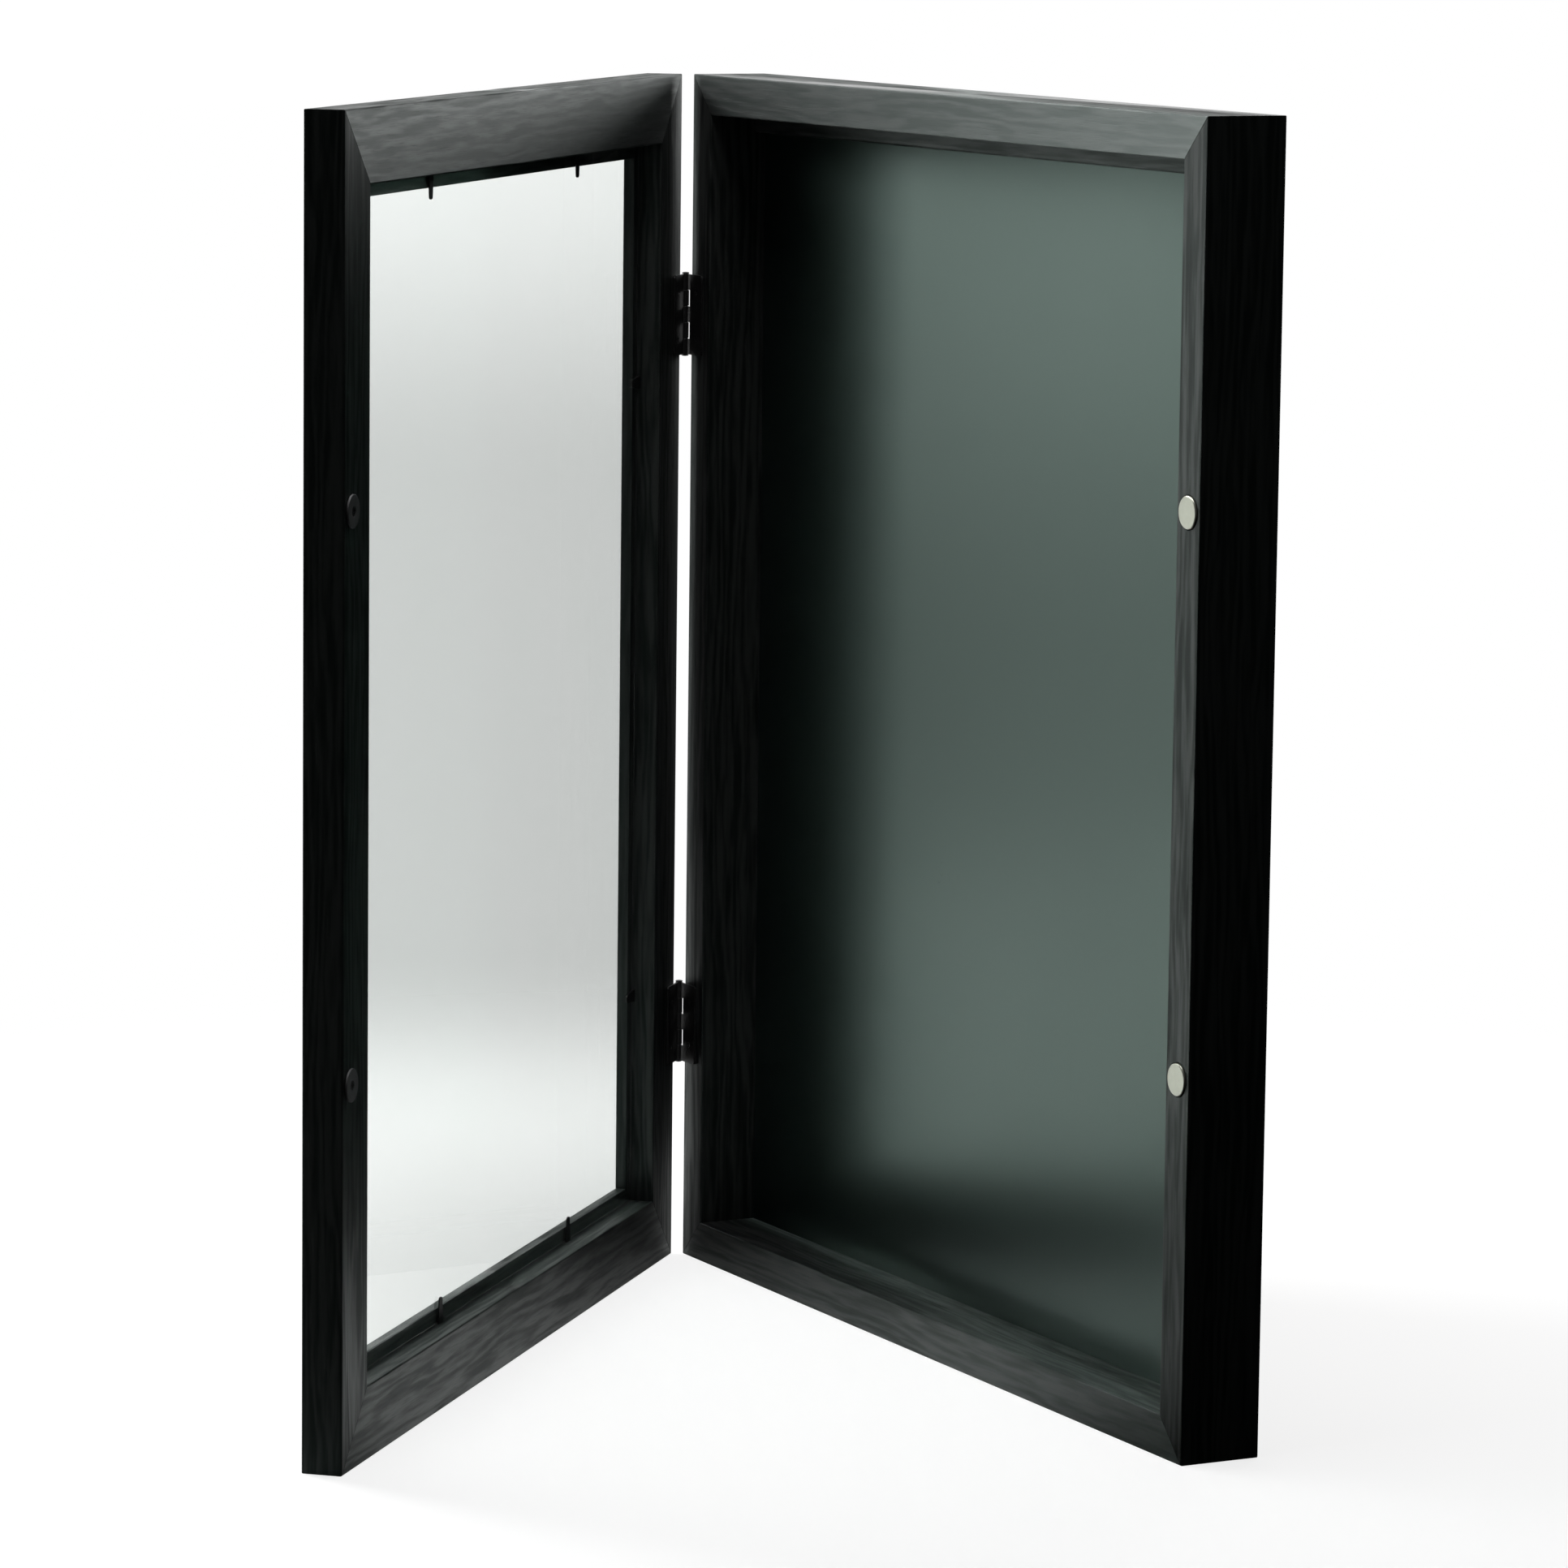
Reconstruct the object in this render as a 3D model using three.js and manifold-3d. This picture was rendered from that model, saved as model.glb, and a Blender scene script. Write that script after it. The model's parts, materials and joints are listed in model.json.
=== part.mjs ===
// Wall display case for a folded jersey: a shallow wooden case with a glazed door on two butt hinges.
// Millimetres, +Z up. The origin is the centre of the case's underside and the case opens towards -Y.
import * as THREE from "three";
import { mergeVertices } from "three/addons/utils/BufferGeometryUtils.js";
import Module from "manifold-3d";

const wasm = await Module();
wasm.setup();

// Overall sizes
const caseWidth = 635;
const caseHeight = 762;
const caseDepth = 51;
const doorThickness = 24;
const doorOpenAngle = THREE.MathUtils.degToRad(43.2);

// Clearances
const fitGap = 0.3;
const panelGap = 0.5;
const pinGap = 0.15;
const knuckleGap = 0.4;

// Case frame section, boards and hanging strip
const caseMemberWidth = 25;
const displayDepth = 38.5;
const backRebateWidth = 9;
const linerThickness = 3;
const backPanelThickness = 3;
const stripHeight = 11;
const stripThickness = 8;
const stripRound = 3;
const easedEdge = 0.9;

// Door frame section and glazing
const doorMemberWidth = 42.5;
const lipWidth = 9;
const lipThickness = 7;
const glazingThickness = 2;

// Steel tabs that hold the glazing and the back panel
const tabWidth = 8;
const tabTipWidth = 4.6;
const tabThickness = 0.8;
const tabReach = 15.5;
const backTabReach = 12;
const tabDriven = 6;
const tabPoint = 3;
const tabRound = 1.8;
const glazingTabOffsets = { bottom: [-140, 106], top: [-144, 132], left: [-205, 188], right: [-195, 195] };
const backTabOffsets = { bottom: [-106, 106], top: [-106, 106], left: [-195, 195], right: [-195, 195] };

// Butt hinges
const hingeOffset = 228.6;
const hingeHeight = 51;
const knuckleCount = 5;
const axisOutset = 6;
const leafOnFace = 16;
const leafThickness = 1.2;
const leafCornerRound = 2;
const pinRadius = 1.6;
const pinHeadRadius = 2.9;
const pinHeadHeight = 1.4;
const pinCrownRadius = 2;
const leafScrewInset = 9;
const leafScrewSpan = 30;

// Countersunk screws
const screwHeadRadius = 2.8;
const screwShankRadius = 1.6;
const screwLength = 14;
const screwTip = 4;
const screwRim = 0.25;
const crossLength = 3.2;
const crossWidth = 0.7;
const crossDepth = 0.7;

// Magnets in the case and strike discs on the door
const magnetOffset = 160.5;
const magnetRadius = 9.5;
const magnetSeatDepth = 5;
const magnetBoreGap = 0.7;
const magnetEase = 0.6;
const strikeRadius = 9.5;

// Sawtooth hangers, let into the back of the top rail
const hangerOffset = 200;
const hangerLength = 46;
const hangerHeight = 11;
const hangerThickness = 1.2;
const hangerRaise = 2;
const hangerFoot = 9;
const hangerRamp = 3;
const hangerEdgeInset = 3.5;
const toothCount = 7;
const toothPitch = 3;
const toothDepth = 2.2;

// Sizes that follow from the ones above
const leafGap = fitGap;
const axisFromCase = leafThickness + leafGap / 2;
const axisFromDoor = axisFromCase + fitGap;
const knuckleRadius = pinRadius + pinGap + leafThickness;
const knuckleLength = (hingeHeight - (knuckleCount - 1) * knuckleGap) / knuckleCount;
const rabbetDepth = doorThickness - lipThickness;
const openingInset = caseMemberWidth - backRebateWidth;
const panelWidth = caseWidth - 2 * openingInset - 2 * panelGap;
const panelHeight = caseHeight - 2 * openingInset - 2 * panelGap;
const magnetLine = caseWidth / 2 - caseMemberWidth / 2;
const roundSides = 24;
const screwSides = 14;
const cutOver = 1;
const cutReach = 4 * (caseDepth + doorThickness);

// Finishes seen on the object
const finishes = {
  blackWood: { color: 0x191a1a, roughness: 0.55, metalness: 0 },
  liner: { color: 0x161918, roughness: 0.3, metalness: 0 },
  hardboard: { color: 0x4a3a2a, roughness: 0.8, metalness: 0 },
  acrylic: { color: 0xf2f5f5, roughness: 0.05, metalness: 0, transparent: true, opacity: 0.2 },
  blackSteel: { color: 0x151515, roughness: 0.4, metalness: 0.7 },
  nickel: { color: 0xc9cac4, roughness: 0.25, metalness: 1 },
  zincSteel: { color: 0xa9adb0, roughness: 0.4, metalness: 1 },
};

// Solids

// Closed solid of a geometry, with shared corners merged and collapsed faces left out.
function solidFrom(geometry) {
  const bare = geometry.index ? geometry.toNonIndexed() : geometry.clone();
  bare.deleteAttribute("normal");
  bare.deleteAttribute("uv");
  const merged = mergeVertices(bare, 1e-4);
  const corners = merged.index.array;
  const faces = [];
  for (let i = 0; i < corners.length; i += 3) {
    const [a, b, c] = [corners[i], corners[i + 1], corners[i + 2]];
    if (a !== b && b !== c && c !== a) {
      faces.push(a, b, c);
    }
  }
  const vertProperties = new Float32Array(merged.attributes.position.array);
  return new wasm.Manifold(new wasm.Mesh({ numProp: 3, vertProperties, triVerts: new Uint32Array(faces) }));
}

function geometryFrom(solid) {
  const mesh = solid.getMesh();
  const geometry = new THREE.BufferGeometry();
  geometry.setAttribute("position", new THREE.BufferAttribute(mesh.vertProperties, 3));
  geometry.setIndex(new THREE.BufferAttribute(mesh.triVerts, 1));
  geometry.computeVertexNormals();
  return geometry;
}

// Outline through corners given as [x, y, round], each corner eased by its round.
function easedShape(corners) {
  const shape = new THREE.Shape();
  corners.forEach(([x, y, round = 0], index) => {
    const here = new THREE.Vector2(x, y);
    const before = corners.at(index - 1);
    const after = corners[(index + 1) % corners.length];
    const start = new THREE.Vector2(before[0], before[1]).sub(here).setLength(round).add(here);
    const end = new THREE.Vector2(after[0], after[1]).sub(here).setLength(round).add(here);
    if (index === 0) {
      shape.moveTo(start.x, start.y);
    } else {
      shape.lineTo(start.x, start.y);
    }
    if (round > 0) {
      shape.quadraticCurveTo(x, y, end.x, end.y);
    }
  });
  shape.closePath();
  return shape;
}

function extruded(shape, depth, curveSegments = 3) {
  return new THREE.ExtrudeGeometry(shape, { depth, bevelEnabled: false, curveSegments });
}

// Extrusion of an outline drawn in X and Z, running along Y from fromY to toY.
function slab(shape, fromY, toY, curveSegments = 3) {
  const geometry = extruded(shape, toY - fromY, curveSegments);
  geometry.rotateX(Math.PI / 2);
  geometry.translate(0, toY, 0);
  return geometry;
}

function box(sizeX, sizeY, sizeZ, x, y, z) {
  return new THREE.BoxGeometry(sizeX, sizeY, sizeZ).translate(x, y, z);
}

// Revolved solid about Y through points given as [radius, y], which start and end on the axis.
function revolved(points, sides) {
  return new THREE.LatheGeometry(points.map(([radius, y]) => new THREE.Vector2(radius, y)), sides);
}

function addMesh(group, name, geometry, finish) {
  const mesh = new THREE.Mesh(geometry, new THREE.MeshStandardMaterial(finishes[finish]));
  mesh.name = name;
  group.add(mesh);
  return mesh;
}

// Countersunk screw along +Y with its head face at y = 0; grow turns it into the hole that clears it.
function screwBody(grow = 0, above = 0) {
  const headDepth = screwHeadRadius - screwShankRadius;
  const tipStart = screwLength - screwTip;
  return revolved([
    [0, -above],
    [screwHeadRadius + grow, -above],
    [screwHeadRadius + grow, screwRim],
    [screwShankRadius + grow, headDepth],
    [screwShankRadius + grow, tipStart],
    [0, screwLength + grow],
  ], screwSides);
}

function screwGeometry() {
  const cross = [
    box(crossLength, 2 * crossDepth, crossWidth, 0, 0, 0),
    box(crossWidth, 2 * crossDepth, crossLength, 0, 0, 0),
  ];
  return geometryFrom(cross.reduce((solid, slot) => solid.subtract(solidFrom(slot)), solidFrom(screwBody())));
}

// A screw's place in its frame: its head's centre, and whether it is driven towards -Y.
function screwMatrix({ x, y, z, backwards }) {
  const matrix = new THREE.Matrix4().makeRotationZ(backwards ? Math.PI : 0);
  return matrix.setPosition(x, y, z);
}

function screwHole(place) {
  return screwBody(fitGap, cutOver).applyMatrix4(screwMatrix(place));
}

function addScrew(group, name, place, finish) {
  const mesh = addMesh(group, name, screwGeometry(), finish);
  mesh.position.set(place.x, place.y, place.z);
  mesh.rotation.z = place.backwards ? Math.PI : 0;
}

// Frames: x and z are measured from the frame's centre, y from its inner face

const frameSides = {
  bottom: { turn: 0, atX: 0, atZ: -1, length: caseWidth },
  top: { turn: Math.PI, atX: 0, atZ: 1, length: caseWidth },
  left: { turn: Math.PI / 2, atX: -1, atZ: 0, length: caseHeight },
  right: { turn: -Math.PI / 2, atX: 1, atZ: 0, length: caseHeight },
};

// Bar along X with its section drawn in depth (Y) and inward width (Z), mitred at both ends.
function mitredBar(section, length, width) {
  const bar = extruded(section, length).translate(0, 0, -length / 2);
  const axes = [new THREE.Vector3(0, 1, 0), new THREE.Vector3(0, 0, 1), new THREE.Vector3(1, 0, 0)];
  bar.applyMatrix4(new THREE.Matrix4().makeBasis(...axes));
  const half = length / 2 - fitGap / Math.SQRT2;
  const mitres = easedShape([
    [-half - cutOver, -cutOver],
    [half + cutOver, -cutOver],
    [half - width - cutOver, width + cutOver],
    [-half + width + cutOver, width + cutOver],
  ]);
  return solidFrom(bar).intersect(solidFrom(slab(mitres, -cutReach, cutReach)));
}

// One side of a mitred frame, with cuts given in the frame's own coordinates.
function addFrameSide(group, name, side, section, width, cuts) {
  const { turn, atX, atZ, length } = frameSides[side];
  const mesh = addMesh(group, name, undefined, "blackWood");
  mesh.position.set(atX * caseWidth / 2, 0, atZ * caseHeight / 2);
  mesh.rotation.y = turn;
  mesh.updateMatrix();
  const toSide = mesh.matrix.clone().invert();
  const cutAway = (solid, cut) => solid.subtract(solidFrom(cut.applyMatrix4(toSide)));
  mesh.geometry = geometryFrom(cuts.reduce(cutAway, mitredBar(section, length, width)));
}

// Case wall with a rebate at the back for the boards.
const caseSection = easedShape([
  [0, 0, easedEdge],
  [0, caseMemberWidth, easedEdge],
  [displayDepth, caseMemberWidth],
  [displayDepth, openingInset],
  [caseDepth, openingInset],
  [caseDepth, 0, easedEdge],
]);

// Door member with a rabbet behind its front lip for the glazing.
const doorSection = easedShape([
  [0, 0, easedEdge],
  [0, doorMemberWidth, easedEdge],
  [-rabbetDepth, doorMemberWidth],
  [-rabbetDepth, doorMemberWidth + lipWidth],
  [-doorThickness, doorMemberWidth + lipWidth, easedEdge],
  [-doorThickness, 0, easedEdge],
]);

// Holding tabs, driven into a frame's rabbet wall and lying on the sheet that they hold

function tabGeometry(visible) {
  const half = tabWidth / 2;
  const tip = tabTipWidth / 2;
  const shape = easedShape([
    [0, -tabDriven],
    [half, tabPoint - tabDriven],
    [half, 0],
    [tip, visible, tabRound],
    [-tip, visible, tabRound],
    [-half, 0],
    [-half, tabPoint - tabDriven],
  ]);
  return slab(shape, -tabThickness / 2, tabThickness / 2);
}

// Two tabs on each side of a rabbet whose wall lies wallInset inside the frame's outline.
function tabPlaces(wallInset, y, offsets) {
  const wallX = caseWidth / 2 - wallInset;
  const wallZ = caseHeight / 2 - wallInset;
  return [
    ...offsets.bottom.map((x) => ({ side: "bottom", x, y, z: -wallZ })),
    ...offsets.top.map((x) => ({ side: "top", x, y, z: wallZ })),
    ...offsets.left.map((z) => ({ side: "left", x: -wallX, y, z })),
    ...offsets.right.map((z) => ({ side: "right", x: wallX, y, z })),
  ];
}

function tabSlot({ side, x, y, z }) {
  const depth = tabDriven + fitGap;
  const slot = box(tabWidth + 2 * fitGap, tabThickness + 2 * fitGap, depth, 0, 0, -depth / 2);
  return slot.rotateY(frameSides[side].turn).translate(x, y, z);
}

function addTabs(group, prefix, places, visible) {
  const counts = {};
  for (const { side, x, y, z } of places) {
    counts[side] = (counts[side] ?? 0) + 1;
    const mesh = addMesh(group, `${prefix}_${side}_${counts[side]}`, tabGeometry(visible), "blackSteel");
    mesh.position.set(x, y, z);
    mesh.rotation.y = frameSides[side].turn;
  }
}

function slotsOn(side, places) {
  return places.filter((place) => place.side === side).map(tabSlot);
}

// Hinges: x and y are measured from the pin's axis, z from the middle of the hinge

// Height of the middle of a knuckle, counted from the lowest.
function knuckleMiddle(index) {
  return (index - (knuckleCount - 1) / 2) * (knuckleLength + knuckleGap);
}

// Leaf towards +X and +Y of the axis, holding the knuckles whose count is even (parity 0) or odd (1).
function leafGeometry(parity) {
  const halfHeight = hingeHeight / 2;
  const inner = knuckleRadius + knuckleGap;
  const outer = axisOutset + leafOnFace;
  const nearFace = leafGap / 2;
  const plate = easedShape([
    [inner, -halfHeight],
    [outer, -halfHeight, leafCornerRound],
    [outer, halfHeight, leafCornerRound],
    [inner, halfHeight],
  ]);
  let leaf = solidFrom(slab(plate, nearFace, nearFace + leafThickness));
  for (let index = parity; index < knuckleCount; index += 2) {
    const z = knuckleMiddle(index);
    const barrel = new THREE.CylinderGeometry(knuckleRadius, knuckleRadius, knuckleLength, roundSides);
    leaf = leaf.add(solidFrom(barrel.rotateX(Math.PI / 2).translate(0, 0, z)));
    const tongue = inner + cutOver;
    const tongueY = nearFace + leafThickness / 2;
    leaf = leaf.add(solidFrom(box(tongue, leafThickness, knuckleLength, tongue / 2, tongueY, z)));
  }
  const boreRadius = pinRadius + pinGap;
  const bore = new THREE.CylinderGeometry(boreRadius, boreRadius, 2 * hingeHeight, roundSides);
  leaf = leaf.subtract(solidFrom(bore.rotateX(Math.PI / 2)));
  for (const sign of [-1, 1]) {
    const place = { x: axisOutset + leafScrewInset, y: nearFace, z: sign * leafScrewSpan / 2 };
    leaf = leaf.subtract(solidFrom(screwHole(place)));
  }
  return geometryFrom(leaf);
}

// Pin through all the knuckles, with a domed head beyond each end.
function pinGeometry() {
  const seat = hingeHeight / 2 + fitGap;
  const top = seat + pinHeadHeight;
  const shoulder = seat + pinHeadHeight / 2;
  return revolved([
    [0, -top],
    [pinCrownRadius, -top],
    [pinHeadRadius, -shoulder],
    [pinHeadRadius, -seat],
    [pinRadius, -seat],
    [pinRadius, seat],
    [pinHeadRadius, seat],
    [pinHeadRadius, shoulder],
    [pinCrownRadius, top],
    [0, top],
  ], roundSides).rotateX(Math.PI / 2);
}

// Screws of both leaves of the two hinges, and of the strike discs, in each frame's coordinates.
const hinges = [["upper", hingeOffset], ["lower", -hingeOffset]];
const leafScrewX = leafScrewInset - caseWidth / 2;

function leafScrews(y, backwards) {
  return hinges.flatMap(([level, z]) => [-1, 1].map((sign) => ({
    name: `hinge_${level}`,
    number: sign < 0 ? 1 : 2,
    x: leafScrewX,
    y,
    z: z + sign * leafScrewSpan / 2,
    backwards,
  })));
}

const caseLeafScrews = leafScrews(-leafThickness, false);
const doorLeafScrews = leafScrews(fitGap + leafThickness, true);
const catches = [["upper", magnetOffset], ["lower", -magnetOffset]];
const strikeFace = fitGap + leafThickness;
const strikeScrews = catches.map(([level, z]) => ({
  name: `strike_${level}`,
  x: magnetLine,
  y: strikeFace,
  z,
  backwards: true,
}));

// Magnets, strike discs and hangers

function magnetGeometry() {
  return revolved([
    [0, -leafThickness],
    [magnetRadius - magnetEase, -leafThickness],
    [magnetRadius, magnetEase - leafThickness],
    [magnetRadius, magnetSeatDepth],
    [0, magnetSeatDepth],
  ], roundSides);
}

function magnetBore(z) {
  const radius = magnetRadius + magnetBoreGap;
  const bore = new THREE.CylinderGeometry(radius, radius, 2 * magnetSeatDepth, roundSides);
  return bore.translate(magnetLine, 0, z);
}

function strikeGeometry() {
  const disc = new THREE.CylinderGeometry(strikeRadius, strikeRadius, leafThickness, roundSides);
  const hole = screwHole({ x: 0, y: leafThickness / 2, z: 0, backwards: true });
  return geometryFrom(solidFrom(disc).subtract(solidFrom(hole)));
}

const hangers = [["left", -hangerOffset], ["right", hangerOffset]];
const hangerRecess = hangerRaise + hangerThickness + fitGap;
const hangerSeat = caseDepth - hangerRecess;
const hangerZ = caseHeight / 2 - hangerEdgeInset - hangerHeight / 2;
const hangerScrewX = hangerLength / 2 - hangerFoot / 2;
const hangerScrews = hangers.flatMap(([place, x]) => [-1, 1].map((sign) => ({
  name: `hanger_${place}`,
  number: sign < 0 ? 1 : 2,
  x: x + sign * hangerScrewX,
  y: hangerSeat + hangerThickness,
  z: hangerZ,
  backwards: true,
})));

// Notch that keeps a hanger below the back of the rail, open downwards for the nail.
function hangerNotch(x) {
  const top = hangerZ + hangerHeight / 2 + fitGap;
  const low = caseHeight / 2 - openingInset - cutOver;
  const depth = hangerRecess + cutOver;
  return box(hangerLength + 2 * fitGap, depth, top - low, x, hangerSeat + depth / 2, (top + low) / 2);
}

// Bent strip with a raised middle whose lower edge is notched, standing on the plane y = 0.
function hangerGeometry() {
  const half = hangerLength / 2;
  const foot = half - hangerFoot;
  const raised = foot - hangerRamp;
  const strip = easedShape([
    [-half, 0],
    [-foot, 0],
    [-raised, hangerRaise],
    [raised, hangerRaise],
    [foot, 0],
    [half, 0],
    [half, hangerThickness],
    [foot, hangerThickness],
    [raised, hangerRaise + hangerThickness],
    [-raised, hangerRaise + hangerThickness],
    [-foot, hangerThickness],
    [-half, hangerThickness],
  ]);
  let hanger = solidFrom(extruded(strip, hangerHeight).translate(0, 0, -hangerHeight / 2));
  const lowerEdge = -hangerHeight / 2;
  for (let tooth = 0; tooth < toothCount; tooth += 1) {
    const x = (tooth - (toothCount - 1) / 2) * toothPitch;
    const notch = easedShape([
      [x - toothPitch / 2, lowerEdge],
      [x + toothPitch / 2, lowerEdge],
      [x, lowerEdge + toothDepth],
    ]);
    hanger = hanger.subtract(solidFrom(slab(notch, 0, 2 * (hangerRaise + hangerThickness))));
  }
  for (const sign of [-1, 1]) {
    const place = { x: sign * hangerScrewX, y: hangerThickness, z: 0, backwards: true };
    hanger = hanger.subtract(solidFrom(screwHole(place)));
  }
  return geometryFrom(hanger);
}

// The case

const caseGroup = new THREE.Group();
caseGroup.position.set(0, -caseDepth / 2, caseHeight / 2);

const panelBack = displayDepth + linerThickness + backPanelThickness;
const backTabs = tabPlaces(openingInset, panelBack + tabThickness / 2, backTabOffsets);

const hangerCuts = [...hangers.map(([, x]) => hangerNotch(x)), ...hangerScrews.map(screwHole)];
const caseCuts = {
  bottom: slotsOn("bottom", backTabs),
  top: [...slotsOn("top", backTabs), ...hangerCuts],
  left: [...slotsOn("left", backTabs), ...caseLeafScrews.map(screwHole)],
  right: [...slotsOn("right", backTabs), ...catches.map(([, z]) => magnetBore(z))],
};
addFrameSide(caseGroup, "case_rail_bottom", "bottom", caseSection, caseMemberWidth, caseCuts.bottom);
addFrameSide(caseGroup, "case_rail_top", "top", caseSection, caseMemberWidth, caseCuts.top);
addFrameSide(caseGroup, "case_stile_hinge", "left", caseSection, caseMemberWidth, caseCuts.left);
addFrameSide(caseGroup, "case_stile_latch", "right", caseSection, caseMemberWidth, caseCuts.right);

const linerMiddle = displayDepth + linerThickness / 2;
addMesh(caseGroup, "liner_board", box(panelWidth, linerThickness, panelHeight, 0, linerMiddle, 0), "liner");
const backMiddle = panelBack - backPanelThickness / 2;
const backBoard = box(panelWidth, backPanelThickness, panelHeight, 0, backMiddle, 0);
addMesh(caseGroup, "back_panel", backBoard, "hardboard");
addTabs(caseGroup, "back_tab", backTabs, backTabReach);

// Strip across the top of the inside, against the lined board and the top rail.
const stripLength = caseWidth - 2 * caseMemberWidth - 2 * fitGap;
const stripSection = easedShape([
  [0, 0],
  [-stripThickness, 0],
  [-stripThickness, -stripHeight, stripRound],
  [0, -stripHeight],
]);
const stripBar = extruded(stripSection, stripLength).rotateX(Math.PI / 2).rotateZ(Math.PI / 2);
const hangingStrip = addMesh(caseGroup, "hanging_strip", stripBar, "blackWood");
hangingStrip.position.set(-stripLength / 2, displayDepth, caseHeight / 2 - caseMemberWidth);

for (const [level, z] of catches) {
  const magnet = addMesh(caseGroup, `magnet_${level}`, magnetGeometry(), "nickel");
  magnet.position.set(magnetLine, 0, z);
}

for (const [level, z] of hinges) {
  const leaf = addMesh(caseGroup, `hinge_${level}_case_leaf`, leafGeometry(0), "blackSteel");
  leaf.position.set(-caseWidth / 2 - axisOutset, -axisFromCase, z);
  const pin = addMesh(caseGroup, `hinge_${level}_pin`, pinGeometry(), "blackSteel");
  pin.position.copy(leaf.position);
}
for (const place of caseLeafScrews) {
  addScrew(caseGroup, `${place.name}_case_screw_${place.number}`, place, "blackSteel");
}

for (const [place, x] of hangers) {
  const hanger = addMesh(caseGroup, `hanger_${place}`, hangerGeometry(), "zincSteel");
  hanger.position.set(x, hangerSeat, hangerZ);
}
for (const place of hangerScrews) {
  addScrew(caseGroup, `${place.name}_screw_${place.number}`, place, "zincSteel");
}

// The door, in a group that turns about the hinge pins

const doorPivot = new THREE.Group();
doorPivot.position.set(-caseWidth / 2 - axisOutset, -caseDepth / 2 - axisFromCase, caseHeight / 2);
doorPivot.rotation.z = -doorOpenAngle;

const doorFrame = new THREE.Group();
doorFrame.position.set(axisOutset + caseWidth / 2, -axisFromDoor, 0);
doorPivot.add(doorFrame);

const glazingBack = -rabbetDepth + fitGap + glazingThickness;
const glazingTabs = tabPlaces(doorMemberWidth, glazingBack + fitGap + tabThickness / 2, glazingTabOffsets);

const doorWidth = doorMemberWidth + lipWidth;
const doorCuts = {
  bottom: slotsOn("bottom", glazingTabs),
  top: slotsOn("top", glazingTabs),
  left: [...slotsOn("left", glazingTabs), ...doorLeafScrews.map(screwHole)],
  right: [...slotsOn("right", glazingTabs), ...strikeScrews.map(screwHole)],
};
addFrameSide(doorFrame, "door_rail_bottom", "bottom", doorSection, doorWidth, doorCuts.bottom);
addFrameSide(doorFrame, "door_rail_top", "top", doorSection, doorWidth, doorCuts.top);
addFrameSide(doorFrame, "door_stile_hinge", "left", doorSection, doorWidth, doorCuts.left);
addFrameSide(doorFrame, "door_stile_free", "right", doorSection, doorWidth, doorCuts.right);

const glazingWidth = caseWidth - 2 * doorMemberWidth - 2 * panelGap;
const glazingHeight = caseHeight - 2 * doorMemberWidth - 2 * panelGap;
const glazingMiddle = glazingBack - glazingThickness / 2;
const sheet = box(glazingWidth, glazingThickness, glazingHeight, 0, glazingMiddle, 0);
addMesh(doorFrame, "glazing", sheet, "acrylic");
addTabs(doorFrame, "glazing_tab", glazingTabs, tabReach);

for (const [level, z] of catches) {
  const strike = addMesh(doorFrame, `strike_${level}`, strikeGeometry(), "blackSteel");
  strike.position.set(magnetLine, strikeFace - leafThickness / 2, z);
}
for (const place of strikeScrews) {
  addScrew(doorFrame, `${place.name}_screw`, place, "blackSteel");
}

for (const [level, z] of hinges) {
  const leaf = addMesh(doorPivot, `hinge_${level}_door_leaf`, leafGeometry(1), "blackSteel");
  leaf.position.z = z;
  leaf.rotation.x = Math.PI;
}
for (const place of doorLeafScrews) {
  addScrew(doorFrame, `${place.name}_door_screw_${place.number}`, place, "blackSteel");
}

const displayCase = new THREE.Group();
displayCase.add(caseGroup, doorPivot);

export default displayCase;
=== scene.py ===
"""Looks of a wall display case with a glazed door: black open-grain wood, a satin lined board,
clear glazing and small black hardware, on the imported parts. Metres, in the parts' own frame."""
import json
import math

import bpy
import numpy as np
from mathutils import Matrix, Vector


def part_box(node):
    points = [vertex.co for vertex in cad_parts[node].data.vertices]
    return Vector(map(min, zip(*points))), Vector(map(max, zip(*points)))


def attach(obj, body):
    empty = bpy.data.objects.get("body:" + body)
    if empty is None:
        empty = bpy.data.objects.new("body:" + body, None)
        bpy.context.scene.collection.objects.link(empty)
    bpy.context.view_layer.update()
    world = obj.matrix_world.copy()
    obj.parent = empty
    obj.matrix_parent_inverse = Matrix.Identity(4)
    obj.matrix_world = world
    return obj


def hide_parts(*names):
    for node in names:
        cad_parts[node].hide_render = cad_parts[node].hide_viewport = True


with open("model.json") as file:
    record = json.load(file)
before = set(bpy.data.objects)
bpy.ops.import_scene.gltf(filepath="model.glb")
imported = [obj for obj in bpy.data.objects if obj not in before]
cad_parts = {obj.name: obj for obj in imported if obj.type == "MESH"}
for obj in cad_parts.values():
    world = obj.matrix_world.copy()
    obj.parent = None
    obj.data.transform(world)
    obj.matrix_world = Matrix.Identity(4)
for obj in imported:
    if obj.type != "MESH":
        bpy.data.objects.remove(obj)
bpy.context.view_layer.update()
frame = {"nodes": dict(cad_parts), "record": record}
nodes = frame["nodes"]

MM = 0.001
FULL_TURN = 2 * np.pi
UP = (0.0, 0.0, 1.0)
CASE_ALONG = (1.0, 0.0, 0.0)
INTO_CASE = np.array((0.0, 1.0, 0.0))
DOOR_OPEN = math.radians(43.2)
DOOR_ALONG = np.array((math.cos(DOOR_OPEN), -math.sin(DOOR_OPEN), 0.0))
DOOR_FACE = np.array((math.sin(DOOR_OPEN), math.cos(DOOR_OPEN), 0.0))


def add_object(name, data):
    """Puts a mesh, a lamp or a camera into the scene, at the origin."""
    made = bpy.data.objects.new(name, data)
    bpy.context.scene.collection.objects.link(made)
    return made


# Shader values

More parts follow.
